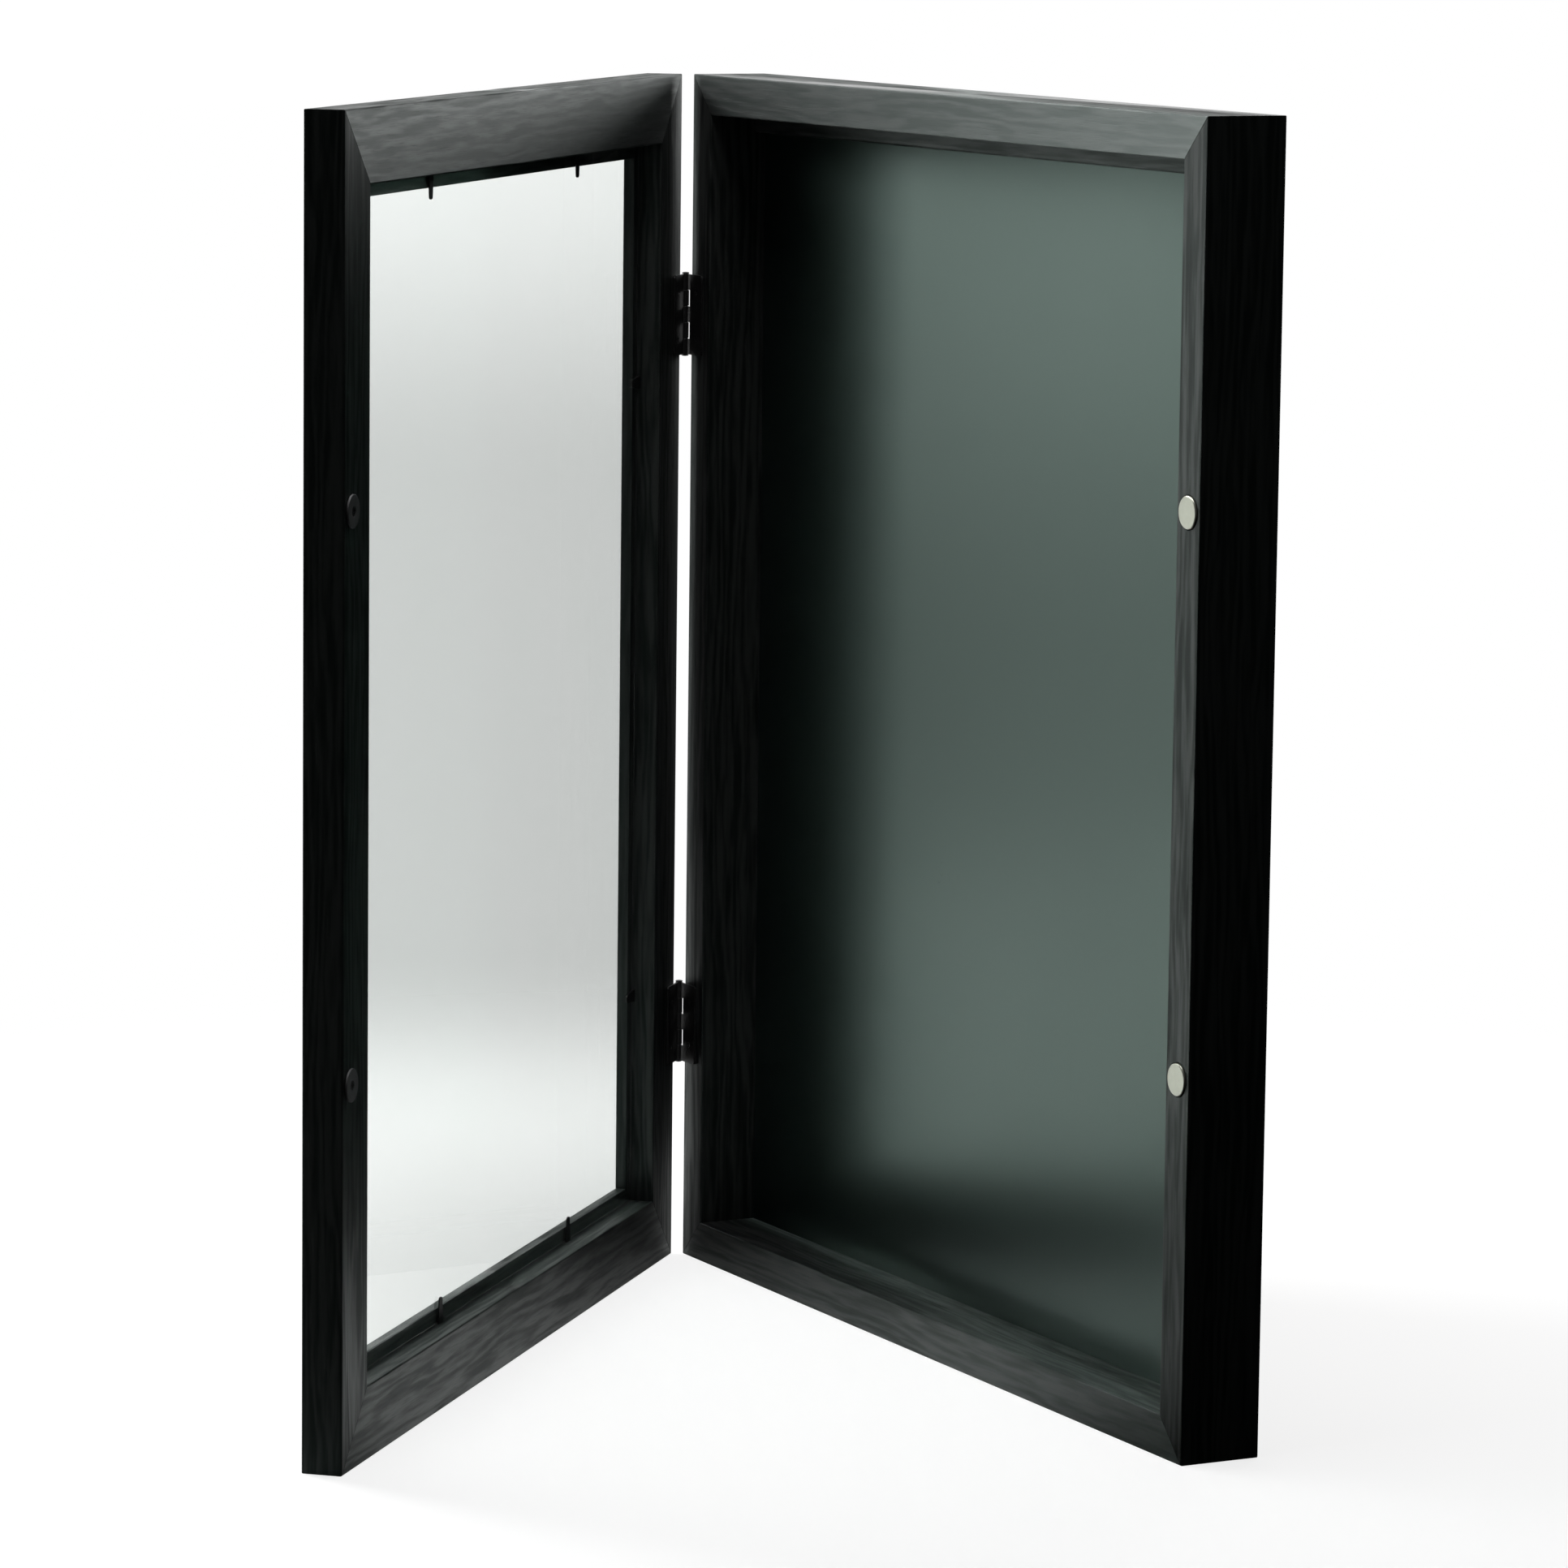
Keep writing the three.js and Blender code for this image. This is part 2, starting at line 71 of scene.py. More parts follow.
class Value:
    """A shader socket inside a Python expression: each operator adds one Math node."""

    def __init__(self, finish, socket):
        self.finish = finish
        self.socket = socket

    def __add__(self, other):
        return self.finish.math("ADD", self, other)

    def __sub__(self, other):
        return self.finish.math("SUBTRACT", self, other)

    def __rsub__(self, other):
        return self.finish.math("SUBTRACT", other, self)

    def __mul__(self, other):
        return self.finish.math("MULTIPLY", self, other)

    __radd__ = __add__
    __rmul__ = __mul__


class Finish:
    """A node tree being written. node() adds any node and returns one of its outputs as a Value."""

    def __init__(self, tree):
        self.tree = tree
        tree.nodes.clear()

    def node(self, kind, settings=None, sockets=None, out=0):
        """Adds a node of a kind, sets its settings, then gives its sockets their values or links."""
        made = self.tree.nodes.new("ShaderNode" + kind)
        for name, value in (settings or {}).items():
            setattr(made, name, value)
        for name, value in (sockets or {}).items():
            if isinstance(value, Value):
                self.tree.links.new(value.socket, made.inputs[name])
            else:
                made.inputs[name].default_value = value
        return Value(self, made.outputs[out]) if made.outputs else None

    def math(self, operation, *terms):
        """A Math node on terms that are Values or numbers."""
        return self.node("Math", {"operation": operation}, dict(enumerate(terms)))

    def measure(self, operation, *vectors):
        """A number taken from vectors, such as a dot product or a distance."""
        return self.node("VectorMath", {"operation": operation}, dict(enumerate(vectors)), out=1)

    def ray(self, fact):
        """What the Light Path node says of the ray under the name of one of its outputs."""
        return self.node("LightPath", out=fact)

    def place(self, turn=(0, 0, 0), shift=(0, 0, 0)):
        """Object coordinates, turned and then shifted."""
        here = self.node("TexCoord", out="Object")
        return self.node("Mapping", None, {"Vector": here, "Rotation": turn, "Location": shift})

    def stretch(self, vector, scale):
        """A vector with each of its parts multiplied by its own scale."""
        return self.node("VectorMath", {"operation": "MULTIPLY"}, {0: vector, 1: scale})

    def noise(self, vector, scale, detail=2.0, roughness=0.5):
        """Soft noise from 0 to 1 whose grains measure about 1 / scale along each axis."""
        sockets = {
            "Vector": self.stretch(vector, scale),
            "Scale": 1.0,
            "Detail": detail,
            "Roughness": roughness,
        }
        return self.node("TexNoise", None, sockets)

    def step(self, value, low, high, start=0.0, end=1.0):
        """A smooth climb from start to end as the value goes from low to high."""
        sockets = {"Value": value, "From Min": low, "From Max": high, "To Min": start, "To Max": end}
        return self.node("MapRange", {"interpolation_type": "SMOOTHSTEP"}, sockets)

    def blend(self, share, first, second):
        """A colour that goes from the first to the second as the share goes from 0 to 1."""
        settings = {"data_type": "RGBA", "clamp_factor": True}
        return self.node("Mix", settings, {0: share, 6: first, 7: second}, out=2)

    def bump(self, height, depth, strength):
        """Normals of a relief that is depth metres high where its height is 1."""
        return self.node("Bump", None, {"Height": height, "Distance": depth, "Strength": strength})

    def surface(self, **sockets):
        """Ends the tree in a Principled shader; underscores in socket names stand for spaces."""
        named = {name.replace("_", " "): value for name, value in sockets.items()}
        shader = self.node("BsdfPrincipled", None, named)
        self.node("OutputMaterial", None, {"Surface": shader})


def new_finish(name):
    """A new material, and its empty node tree to write."""
    material = bpy.data.materials.new(name)
    material.use_nodes = True
    return material, Finish(material.node_tree)


# Finishes

def stained_wood(name, turn, shift, shine, sheen, sheen_turn):
    """Black-stained open-grain wood with its grain along the pattern's X: soft streaks over a broad
    figure, faint slanted growth rings bent by that figure, and thin pores that crowd along the rings.
    The shine is how strong its highlight is, the sheen how far the fibres draw the highlight out, and
    the sheen's turn which way."""
    material, f = new_finish(name)
    p = f.place(turn, shift)
    figure = f.noise(p, (6.0, 48.0, 48.0), 3.0)
    streak = f.noise(p, (17.0, 230.0, 230.0), 3.0, 0.55)
    fibre = f.noise(p, (45.0, 1500.0, 1500.0), roughness=0.6)
    across = f.measure("DOT_PRODUCT", p, (0.0, 900.0, 690.0))
    ring = f.math("SINE", across + figure * 34.0) * 0.5 + 0.5
    pores = f.step(fibre, 0.53, 0.68) * (ring * 0.7 + 0.3)
    light = f.step(streak * 0.6 + figure * 0.25 + ring * 0.15, 0.34, 0.66)
    colour = f.blend(light, (0.004, 0.0041, 0.0042, 1), (0.023, 0.0237, 0.0235, 1))
    height = light * 0.6 + fibre * 0.25 - pores * 0.35
    f.surface(
        Base_Color=colour,
        Roughness=0.5 - light * 0.1 + pores * 0.16,
        Specular_IOR_Level=shine,
        Specular_Tint=(0.72, 1.0, 0.9, 1),
        Anisotropic=sheen,
        Anisotropic_Rotation=sheen_turn,
        Coat_Weight=light * 0.34,
        Coat_Roughness=0.45,
        Normal=f.bump(height, 0.12 * MM, 0.8),
    )
    return material


def lined_board():
    """Charcoal satin board: a fine even tooth with soft rubbed patches."""
    material, f = new_finish("lined_board_satin")
    p = f.place()
    tooth = f.noise(p, (900.0, 900.0, 900.0))
    rubbed = f.noise(p, (5.0, 5.0, 5.0))
    f.surface(
        Base_Color=f.blend(tooth, (0.003, 0.0042, 0.0038, 1), (0.005, 0.007, 0.0064, 1)),
        Roughness=rubbed * 0.05 + tooth * 0.03 + 0.25,
        Specular_IOR_Level=0.85,
        Specular_Tint=(0.6, 1.0, 0.86, 1),
        Normal=f.bump(tooth, 0.012 * MM, 0.6),
    )
    return material


def clear_sheet():
    """Clear acrylic, very slightly green, with faint marks of wiping on its faces. Its edges, which
    turn away from the way that the door faces, are dull and coloured dark as painted shade."""
    material, f = new_finish("clear_sheet_acrylic")
    p = f.place((0.3, 0.2, 0.9))
    wiped = f.noise(p, (10.0, 60.0, 14.0), 4.0, 0.6)
    outward = f.node("TexCoord", out="Normal")
    flat = f.measure("DOT_PRODUCT", outward, tuple(DOOR_FACE))
    # painted shade: the sheet's edges get a dark colour so that they show no light
    shaded_edge = f.step(flat * flat, 0.6, 0.4)
    clear = f.blend(wiped, (0.945, 0.985, 0.96, 1), (0.975, 1.0, 0.985, 1))
    f.surface(
        Base_Color=f.blend(shaded_edge, clear, (0.02, 0.024, 0.022, 1)),
        Roughness=shaded_edge * 0.7,
        IOR=1.49,
        Transmission_Weight=1.0,
        Normal=f.bump(wiped, 0.02 * MM, 0.3),
    )
    return material


def black_paint_on_steel():
    """Black baked paint with a fine orange peel and small rubbed spots."""
    material, f = new_finish("black_painted_steel")
    p = f.place()
    peel = f.noise(p, (1500.0, 1500.0, 1500.0))
    rubbed = f.step(f.noise(p, (240.0, 240.0, 240.0), 4.0, 0.65), 0.6, 0.75)
    f.surface(
        Base_Color=f.blend(rubbed, (0.006, 0.006, 0.0065, 1), (0.035, 0.035, 0.036, 1)),
        Roughness=peel * 0.1 + rubbed * 0.12 + 0.42,
        Specular_IOR_Level=0.4,
        Normal=f.bump(peel, 0.02 * MM, 0.6),
    )
    return material


def plated(name, dull, bright, roughness, grain):
    """Plated metal: a mottled plating between two tones, with fine scratches that run one way."""
    material, f = new_finish(name)
    p = f.place((0.4, 0.0, 0.7))
    mottle = f.noise(p, (grain, grain, grain), 3.0)
    scratch = f.noise(p, (90.0, 90.0, 4200.0))
    f.surface(
        Base_Color=f.blend(mottle, dull, bright),
        Metallic=1.0,
        Roughness=mottle * 0.14 + scratch * 0.12 + roughness,
        Normal=f.bump(scratch, 0.008 * MM, 0.5),
    )
    return material


def pressed_board():
    """Brown pressed fibre board: tangled fibres in two directions over a mottled ground."""
    material, f = new_finish("brown_pressed_board")
    p = f.place()
    first = f.noise(f.place((0.0, 0.6, 0.0)), (160.0, 900.0, 1100.0), 3.0, 0.6)
    second = f.noise(f.place((0.0, -0.9, 0.0)), (1100.0, 900.0, 160.0), 3.0, 0.6)
    ground = f.noise(p, (18.0, 18.0, 18.0), 4.0)
    fibre = f.math("MAXIMUM", first, second)
    colour = f.blend(fibre * 0.7 + ground * 0.4, (0.05, 0.03, 0.018, 1), (0.2, 0.13, 0.08, 1))
    f.surface(
        Base_Color=colour,
        Roughness=ground * 0.1 + 0.66,
        Normal=f.bump(fibre, 0.05 * MM, 0.7),
    )
    return material


# Which finish goes on which part

def turned(*turns):
    """Euler angles of turns given as (angle, axis), the first applied first."""
    whole = Matrix.Identity(3)
    for angle, axis in turns:
        whole = Matrix.Rotation(angle, 3, axis) @ whole
    return tuple(whole.to_euler("XYZ"))


LENGTHWISE = {
    "case_rail": turned(),
    "case_stile": turned((math.pi / 2, "Y")),
    "door_rail": turned((DOOR_OPEN, "Z")),
    "door_stile": turned((DOOR_OPEN, "Z"), (math.pi / 2, "Y")),
}
RAIL_LIGHT = {"shine": 0.44, "sheen": 0.85, "sheen_turn": 0.25}
# painted shade: the stiles are the same wood as the rails, with their shine turned down so that they look
# darker
STILE_LIGHT = {"shine": 0.3, "sheen": 0.0, "sheen_turn": 0.0}


def wood_for(node, seed):
    """Stained wood for a node, with its grain along the member and its own part of the pattern. A
    node that is no rail or stile lies like a rail of the case."""
    run = next((kind for kind in LENGTHWISE if node.startswith(kind)), "case_rail")
    light = STILE_LIGHT if run.endswith("stile") else RAIL_LIGHT
    shift = (0.37 * seed, 0.11 * seed, 0.07 * seed)
    return stained_wood(f"{node}_stained", LENGTHWISE[run], shift, **light)


finishes = {
    "liner": lined_board(),
    "hardboard": pressed_board(),
    "acrylic": clear_sheet(),
    "black_steel": black_paint_on_steel(),
    "nickel": plated("magnet_nickel", (0.43, 0.44, 0.375, 1), (0.54, 0.55, 0.475, 1), 0.24, 260.0),
    "strike": plated("strike_blackened", (0.16, 0.16, 0.163, 1), (0.26, 0.26, 0.265, 1), 0.52, 300.0),
    "zinc_steel": plated("hanger_zinc", (0.34, 0.36, 0.38, 1), (0.6, 0.62, 0.63, 1), 0.26, 320.0),
}

for seed, part in enumerate(frame["record"]["subparts"]):
    node = part["node"]
    slot = part["material_slot"]
    skin = wood_for(node, seed) if slot == "black_wood" else finishes[slot]
    nodes[node].data.materials.clear()
    nodes[node].data.materials.append(skin)


# Small hardware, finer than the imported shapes, with its sizes in millimetres

SHARP_EDGE = math.radians(32)
FACE_LEVEL = 0.01

SLOT_HALF_LENGTH = 1.7
SLOT_HALF_WIDTH = 0.45
SLOT_DEPTH = 0.7

LEAF_NEAR = 0.15
LEAF_FAR = 1.35
BARREL_RADIUS = 2.3
BORE_RADIUS = 1.75
KNUCKLE_STEP = 10.28
KNUCKLE_HALF = 4.94
KNUCKLE_EASE = 0.15
PLATE_END = 22.0
PLATE_HALF = 25.5
PLATE_CORNER = 2.0
HOLE_AT = 15.0
HOLE_RADIUS = 1.75
SINK_RADIUS = 2.95
SINK_END = 1.2
CASE_REACH = 5.8
DOOR_REACH = 3.35


def directions(turn):
    """Unit vectors (cos t, sin t)."""
    return np.stack([np.cos(turn), np.sin(turn)], 1)


def arc(centre, radius, start, end, count=8):
    """Points (r, h) of an arc about a centre, from one angle to another, in degrees from the r axis
    towards h."""
    return np.array(centre) + radius * directions(np.radians(np.linspace(start, end, count)))


def box_of(node):
    """Low and high corner of a node's box."""
    low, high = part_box(node)
    return np.array(low), np.array(high)


def middle(node):
    """Middle of a node's box."""
    low, high = box_of(node)
    return (low + high) / 2


def grid_faces(rows, columns, joined):
    """Corners of the faces between rows of points, each row joined to its own start and, where joined
    says so, the last row to the first."""
    index = np.arange(rows * columns).reshape(rows, columns)
    beside = np.roll(index, -1, axis=1)
    below = np.roll(index, -1, axis=0)
    beside_below = np.roll(beside, -1, axis=0)
    faces = np.stack([index, beside, beside_below, below], -1)
    return (faces if joined else faces[:-1]).reshape(-1, 4)


def stand_in(name, points, faces, skin, node, body):
    """Makes a mesh, smooth but for its sharp edges, a piece that stands for a node."""
    mesh = bpy.data.meshes.new(name)
    mesh.from_pydata(points.tolist(), [], faces)
    mesh.materials.append(finishes[skin])
    mesh.polygons.foreach_set("use_smooth", np.ones(len(mesh.polygons), bool))
    mesh.set_sharp_from_angle(angle=SHARP_EDGE)
    piece = add_object(name, mesh)
    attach(piece, body)
    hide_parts(node)


def flush(x, y):
    """Depth of a face that has nothing sunk into it."""
    return 0 * x


def cross_slot(x, y):
    """Depth of two crossed slots with sloping ends and walls, as long and wide as said at the face."""
    along = np.clip((SLOT_HALF_LENGTH - np.abs(np.stack([x, y]))) / 0.3, 0, 1)
    across = np.clip((SLOT_HALF_WIDTH - np.abs(np.stack([y, x]))) / 0.2, 0, 1)
    return SLOT_DEPTH * (along * across).max(axis=0)


def turned_piece(node, body, slot, profile, at, along, sunk=flush, sides=96, skin=None):
    """Surface of revolution that stands for a node. Point (i, t) of a profile (r, h) in millimetres is
    at + (h[i] + d) * a + r[i] * (u * cos t + v * sin t), where u, v and the axis a are at right angles
    and d is how deep the face, at h = 0, is sunk there. A profile that starts and ends on the axis
    closes in two poles, and any other is joined end to start into a ring."""
    axis = np.array(along) / np.linalg.norm(along)
    first = np.cross(axis, UP if abs(axis[2]) < 0.9 else CASE_ALONG)
    first /= np.linalg.norm(first)
    second = np.cross(axis, first)
    profile = np.concatenate([np.atleast_2d(stretch) for stretch in profile])
    poles = profile[0, 0] == 0 and profile[-1, 0] == 0
    rings = profile[1:-1] if poles else profile
    turn = np.linspace(0, FULL_TURN, sides, endpoint=False)
    x = rings[:, :1] * np.cos(turn)
    y = rings[:, :1] * np.sin(turn)
    h = rings[:, 1:] + sunk(x, y) * (rings[:, 1:] < FACE_LEVEL)
    points = (x[..., None] * first + y[..., None] * second + h[..., None] * axis).reshape(-1, 3)
    faces = grid_faces(len(rings), sides, joined=not poles).tolist()
    if poles:
        count = len(points)
        ring = np.arange(sides)
        beside = np.roll(ring, -1)
        last = count - sides
        ends = np.array([profile[0, 1] + sunk(np.zeros(1), np.zeros(1))[0], profile[-1, 1]])
        points = np.concatenate([points, ends[:, None] * axis])
        faces += np.stack([np.full(sides, count), beside, ring], -1).tolist()
        faces += np.stack([last + ring, last + beside, np.full(sides, count + 1)], -1).tolist()
    stand_in(f"{node}_turned", points * MM + np.array(at), faces, skin or slot, node, body)


def screw(node, body, slot, along):
    """Countersunk screw with a cross slot. Its tip is where its box ends in the axis's direction."""
    low, high = box_of(node)
    tip = np.where(along > 0.1, high, np.where(along < -0.1, low, (low + high) / 2))
    length = 14.0
    flat = 2.6
    rim = 0.2
    face = np.stack([np.linspace(0, flat, 27), np.zeros(27)], 1)
    edge = arc((flat, rim), rim, -90, 0, 5)[1:]
    shank = [(2.8, 0.25), (1.7, 1.12), (1.6, 1.25), (1.6, 10.0), (0.5, 12.9), (0.0, length)]
    turned_piece(node, body, slot, [face, edge, shank], tip - along * length * MM, along, cross_slot)


def magnet(node):
    """Round magnet with a faintly dished face and a rolled rim."""
    at = middle(node)
    at[1] = box_of(node)[0][1]
    flat = 8.7
    rim = 0.8
    dish = 0.08
    reach = np.linspace(0, flat, 24)
    face = np.stack([reach, dish * (1 - (reach / flat) ** 4)], 1)
    edge = arc((flat, rim), rim, -90, 0)[1:]
    back = [(9.5, 5.9), (9.2, 6.2), (0.0, 6.2)]
    turned_piece(node, "case", "nickel", [face, edge, back], at, INTO_CASE, sides=128)


def strike(node):
    """Stamped disc with a rolled rim and a countersunk hole for its screw."""
    thickness = 1.2
    front = arc((9.15, 0.35), 0.35, -90, 0)
    back = [(9.5, 1.1), (9.4, thickness), (1.9, thickness)]
    bore = arc((3.3, 0.2), 0.2, 180, 270, 5)
    profile = [front, back, bore]
    at = middle(node) + DOOR_FACE * (thickness / 2) * MM
    turned_piece(node, "door", "black_steel", profile, at, -DOOR_FACE, sides=128, skin="strike")


def pin(node):
    """Hinge pin with a domed head at each end."""
    dome = arc((0.0, 0.0), 1.0, -90, 0, 12) * (2.3, 0.6) + (0.0, -26.2)
    neck = [(2.3, -25.9), (2.2, -25.8), (1.6, -25.8)]
    low_end = np.concatenate([dome, neck])
    high_end = low_end[::-1] * (1.0, -1.0)
    turned_piece(node, "case", "black_steel", [low_end, high_end], middle(node), UP)


def closed_grid(loops):
    """Corners of the faces between loops of equal length, the last loop joined to the first, turned
    outwards by the sign of the volume that they enclose."""
    faces = grid_faces(loops.shape[0], loops.shape[1], joined=True)
    a, b, c, d = loops.reshape(-1, 3)[faces.T]
    volume = (np.cross(a, b) * c + np.cross(a, c) * d).sum()
    return faces if volume > 0 else faces[:, ::-1]


def knuckle_loops(middle_height, reach):
    """Loops (u, v, z) of a knuckle and its tongue, from the pin's axis: the barrel's circle, from where
    the tongue's far face leaves it round to the near face, and the tongue's end at u = reach. Inside
    is the bore, and the barrel's edge is eased at both ends."""
    far = math.asin(LEAF_FAR / BARREL_RADIUS)
    near = math.asin(LEAF_NEAR / BARREL_RADIUS) + FULL_TURN
    turn = np.linspace(far, near, 64)
    tongue = [(reach, LEAF_NEAR), (reach, LEAF_FAR)]
    full = np.concatenate([directions(turn) * BARREL_RADIUS, tongue])
    eased = np.concatenate([directions(turn) * (BARREL_RADIUS - KNUCKLE_EASE), tongue])
    inward = np.append(turn, np.linspace(near, far + FULL_TURN, 4)[1:3])
    bore = directions(inward) * BORE_RADIUS
    top = middle_height + KNUCKLE_HALF
    foot = middle_height - KNUCKLE_HALF
    levels = [
        (full, top - KNUCKLE_EASE),
        (eased, top),
        (bore, top),
        (bore, foot),
        (eased, foot),
        (full, foot + KNUCKLE_EASE),
    ]
    return np.stack([np.insert(outline, 2, height, axis=1) for outline, height in levels])


def plate_loops(side, reach):
    """Loops (u, v, z) of one half of a leaf's plate, above (side 1) or below (side -1) its middle: the
    half's outline, from u = reach to the plate's end with one round corner, and a countersunk hole as
    far from the pin as from the plate's middle."""
    corner_u = PLATE_END - PLATE_CORNER
    corner_z = PLATE_HALF - PLATE_CORNER
    edge = np.concatenate([
        np.linspace((reach, 0.0), (PLATE_END, 0.0), 12, endpoint=False),
        np.linspace((PLATE_END, 0.0), (PLATE_END, corner_z), 12, endpoint=False),
        arc((corner_u, corner_z), PLATE_CORNER, 0, 90, 9),
        np.linspace((corner_u, PLATE_HALF), (reach, PLATE_HALF), 12, endpoint=False)[1:],
        np.linspace((reach, PLATE_HALF), (reach, 0.0), 16, endpoint=False),
    ])
    ray = edge - HOLE_AT
    ray /= np.linalg.norm(ray, axis=1)[:, None]
    sink = HOLE_AT + SINK_RADIUS * ray
    hole = HOLE_AT + HOLE_RADIUS * ray
    levels = [
        (edge, LEAF_NEAR),
        (sink, LEAF_NEAR),
        (hole, SINK_END),
        (hole, LEAF_FAR),
        (edge, LEAF_FAR),
    ]
    return np.stack([np.insert(outline * (1, side), 1, depth, axis=1) for outline, depth in levels])


def leaf(level, body, along, facing, knuckles, reach):
    """Hinge leaf: a plate in two halves and its knuckles, which are numbered up from -2 to 2. Point
    (u, v, z) of a loop is u along the leaf, v towards the wood and z up from the middle of the pin."""
    node = f"hinge_{level}_{body}_leaf"
    parts = [plate_loops(side, reach) for side in (1, -1)]
    parts += [knuckle_loops(number * KNUCKLE_STEP, reach) for number in knuckles]
    axes = np.stack([along, facing, UP])
    points = []
    faces = []
    count = 0
    for loops in parts:
        placed = loops @ axes
        faces.append(closed_grid(placed) + count)
        points.append(placed.reshape(-1, 3))
        count += len(points[-1])
    places = np.concatenate(points) * MM + middle(f"hinge_{level}_pin")
    corners = np.concatenate(faces).tolist()
    stand_in(f"{node}_slim", places, corners, "black_steel", node, body)


for level in ("upper", "lower"):
    leaf(level, "case", CASE_ALONG, INTO_CASE, (-2, 0, 2), CASE_REACH)
    leaf(level, "door", DOOR_ALONG, -DOOR_FACE, (-1, 1), DOOR_REACH)
    magnet(f"magnet_{level}")
    strike(f"strike_{level}")
    pin(f"hinge_{level}_pin")
    screw(f"strike_{level}_screw", "door", "black_steel", -DOOR_FACE)
    for number in (1, 2):
        screw(f"hinge_{level}_case_screw_{number}", "case", "black_steel", INTO_CASE)
        screw(f"hinge_{level}_door_screw_{number}", "door", "black_steel", -DOOR_FACE)
for side in ("left", "right"):
    for number in (1, 2):
        screw(f"hanger_{side}_screw_{number}", "case", "zinc_steel", -INTO_CASE)


# Stage, light and camera

def unturned(f, limit):
    """1 for rays that have met fewer surfaces than the limit, besides those that they went through,
    and 0 for the rest."""
    turns = f.ray("Ray Depth") - f.ray("Transmission Depth")
    return f.math("LESS_THAN", turns, limit)


def towards(f, way, direction, low, high):
    """Climbs from 0 to 1 as a point or a ray lies further towards a direction."""
    return f.step(f.measure("DOT_PRODUCT", way, direction), low, high)


def pale_floor():
    """White floor that keeps a soft shadow round the case. Rays that show it get a glow that keeps it
    white. To the rest, apart from mirror reflections, it glows as painted light: pale ahead of the case
    on the left, dimmed by painted shade in the corner between case and door, and dark elsewhere."""
    mesh = bpy.data.meshes.new("studio_floor")
    reach = 1.6
    corners = [(-reach, -reach, 0), (reach, -reach, 0), (reach, reach, 0), (-reach, reach, 0)]
    mesh.from_pydata(corners, [], [(0, 1, 2, 3)])
    floor = add_object("studio_floor", mesh)
    material, f = new_finish("studio_floor_white")
    here = f.node("TexCoord", out="Object")
    away = f.measure("LENGTH", here)
    near = f.step(away, 1.3, 0.9)
    # painted light: seen through the glazing, the floor's glow rises from the middle out to about 0.8 m
    # and falls off beyond
    level = f.step(away, 0.3, 0.8, 0.95, 1.2) - f.step(away, 0.8, 1.5, 0.0, 0.3)
    straight = f.ray("Is Camera Ray")
    shown = unturned(f, 0.5)
    through = f.ray("Is Transmission Ray")
    mirrored = f.ray("Is Singular Ray") * (1 - through)
    left = towards(f, here, (-1.0, 0.1, 0.0), -0.3, -0.05)
    ahead = towards(f, here, (0.0, -1.0, 0.0), -0.3, -0.05)
    # painted shade: the floor's glow and colour are dimmed in the corner between case and door
    corner = f.measure("DISTANCE", here, (-0.32, -0.03, 0.0))
    corner_shading = f.step(corner, 0.05, 0.33, 0.4, 1.0)
    # painted light: to rays that don't show it, the floor glows onto the case though it is no lamp
    unseen = (1 - shown) * (1 - mirrored) * left * ahead * corner_shading
    seen = level + straight * (1.0 - level) - near * 0.2
    glow = f.node("Emission", None, {"Strength": shown * seen + unseen * 0.26})
    pale = shown * near * 0.3 + unseen * 0.85
    grey = f.node("CombineColor", None, {0: pale, 1: pale, 2: pale})
    lit = f.node("BsdfDiffuse", None, {"Color": grey})
    both = f.node("AddShader", None, {0: lit, 1: glow})
    f.node("OutputMaterial", None, {"Surface": both})
    mesh.materials.append(material)


def studio_world():
    """White for the camera. Through the glazing it is a white surround that is dimmer below eye level.
    To other rays only a patch of that surround, on the left and behind, is bright."""
    world = bpy.data.worlds.new("studio")
    bpy.context.scene.world = world
    world.use_nodes = True
    f = Finish(world.node_tree)
    way = f.node("TexCoord", out="Generated")
    surround = towards(f, way, UP, -0.096, -0.044) * 0.45 + 0.9
    left = towards(f, way, (-0.85, 0.33, 0.41), 0.82, 0.92) * 0.84 + 0.04
    shown = unturned(f, 1.5) * f.ray("Is Transmission Ray")
    light = surround * (shown + (1 - shown) * left)
    level = f.math("MAXIMUM", f.ray("Is Camera Ray"), light)
    back = f.node("Background", None, {"Color": (1, 1, 1, 1), "Strength": level})
    f.node("OutputWorld", None, {"Surface": back})


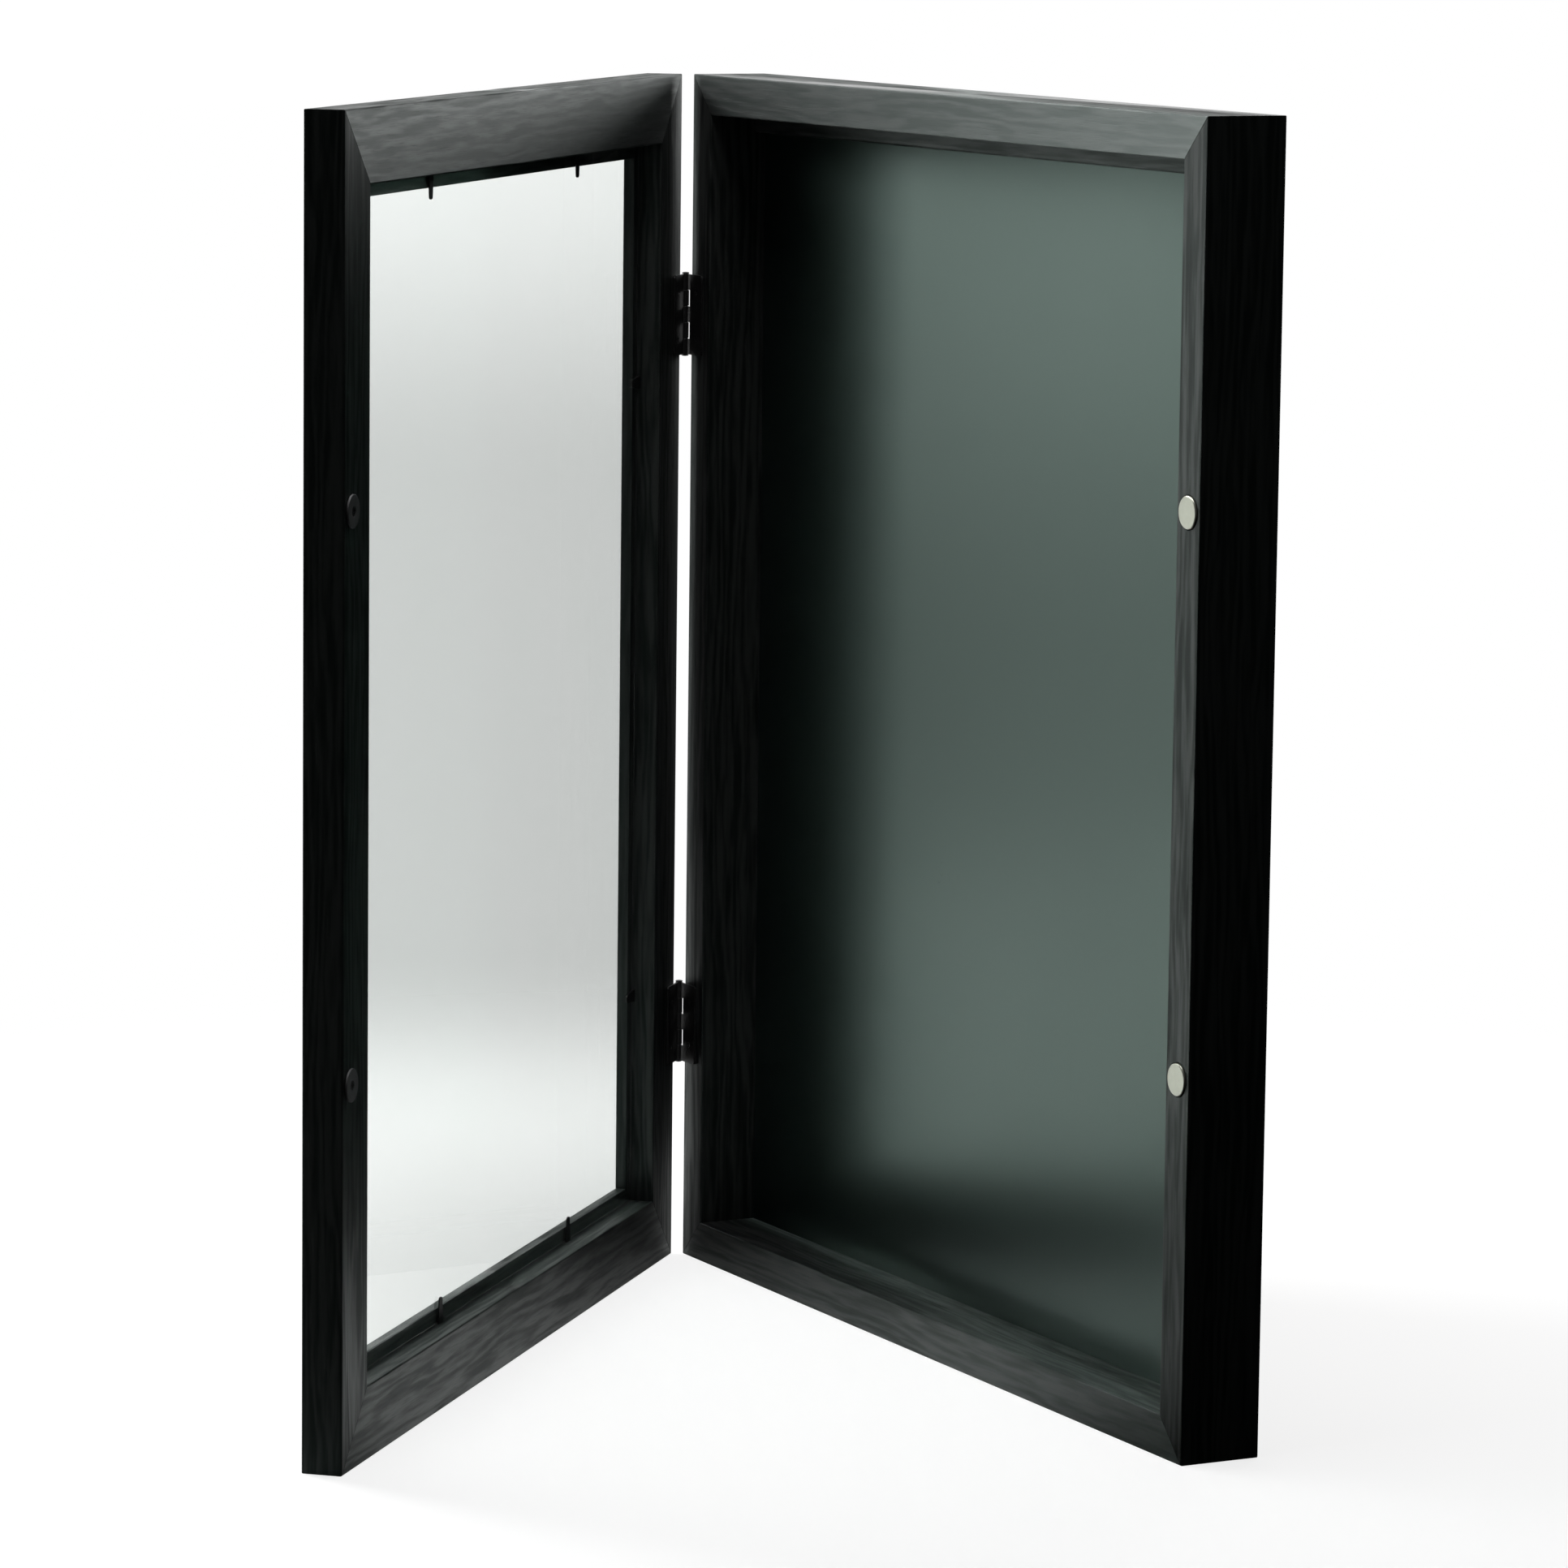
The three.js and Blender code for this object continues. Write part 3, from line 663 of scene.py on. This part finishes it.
def soft_lamp(name, at, target, size, watts, foot=1.0):
    """Rectangular lamp that faces its target. The foot is how bright its lowest part is beside the
    rest."""
    lamp = bpy.data.lights.new(name, "AREA")
    lamp.use_nodes = True
    f = Finish(lamp.node_tree)
    spot = f.node("NewGeometry", out="Parametric")
    rise = f.node("SeparateXYZ", None, {"Vector": spot}, out="Y")
    shine = f.node("Emission", None, {"Strength": f.step(rise, 0.15, 0.42, foot, 1.0)})
    f.node("OutputLight", None, {"Surface": shine})
    lamp.shape = "RECTANGLE"
    lamp.size, lamp.size_y = size
    lamp.energy = watts
    holder = add_object(name, lamp)
    holder.location = at
    holder.rotation_euler = (Vector(target) - Vector(at)).to_track_quat("-Z", "Y").to_euler()
    holder.visible_camera = False


def camera_like_photo():
    """Camera placed and turned by the perspective fit: yaw from +Y, pitch up, and roll in radians, and
    the focal length in pixels of the photo."""
    place = (3.53475, -1.94776, 0.91402)
    yaw, pitch, roll = -1.093457, -0.139758, 0.011612
    focal_pixels = 8332.208
    photo_pixels = 1932
    film = 36.0
    ahead = Vector((math.sin(yaw) * math.cos(pitch), math.cos(yaw) * math.cos(pitch), math.sin(pitch)))
    level = Vector((math.cos(yaw), -math.sin(yaw), 0))
    upright = level.cross(ahead)
    right = level * math.cos(roll) + upright * math.sin(roll)
    up = upright * math.cos(roll) - level * math.sin(roll)
    data = bpy.data.cameras.new("photo_camera")
    data.sensor_width = film
    data.lens = film * focal_pixels / photo_pixels
    data.clip_end = 60.0
    holder = add_object("photo_camera", data)
    turn = Matrix((right, up, -ahead)).transposed().to_4x4()
    holder.matrix_world = Matrix.Translation(place) @ turn
    bpy.context.scene.camera = holder


pale_floor()
studio_world()
soft_lamp("overhead_lamp", (0.1, -0.28, 1.9), (0.1, -0.23, 0.0), size=(0.6, 0.6), watts=11.5)
soft_lamp("left_panel", (-1.041, -0.818, 0.8), (-0.153, -0.359, 0.8), size=(0.7, 1.6), watts=7.4, foot=0.5)
soft_lamp("front_lamp", (-1.03, -0.84, 1.5), (0.1, 0.0, 0.7), size=(0.5, 0.4), watts=23.0)
soft_lamp("back_lamp", (-0.75, 1.3, 0.98), (-0.05, -0.2, 0.7), size=(0.7, 0.5), watts=4.4)
camera_like_photo()
bpy.context.scene.view_settings.view_transform = "Standard"
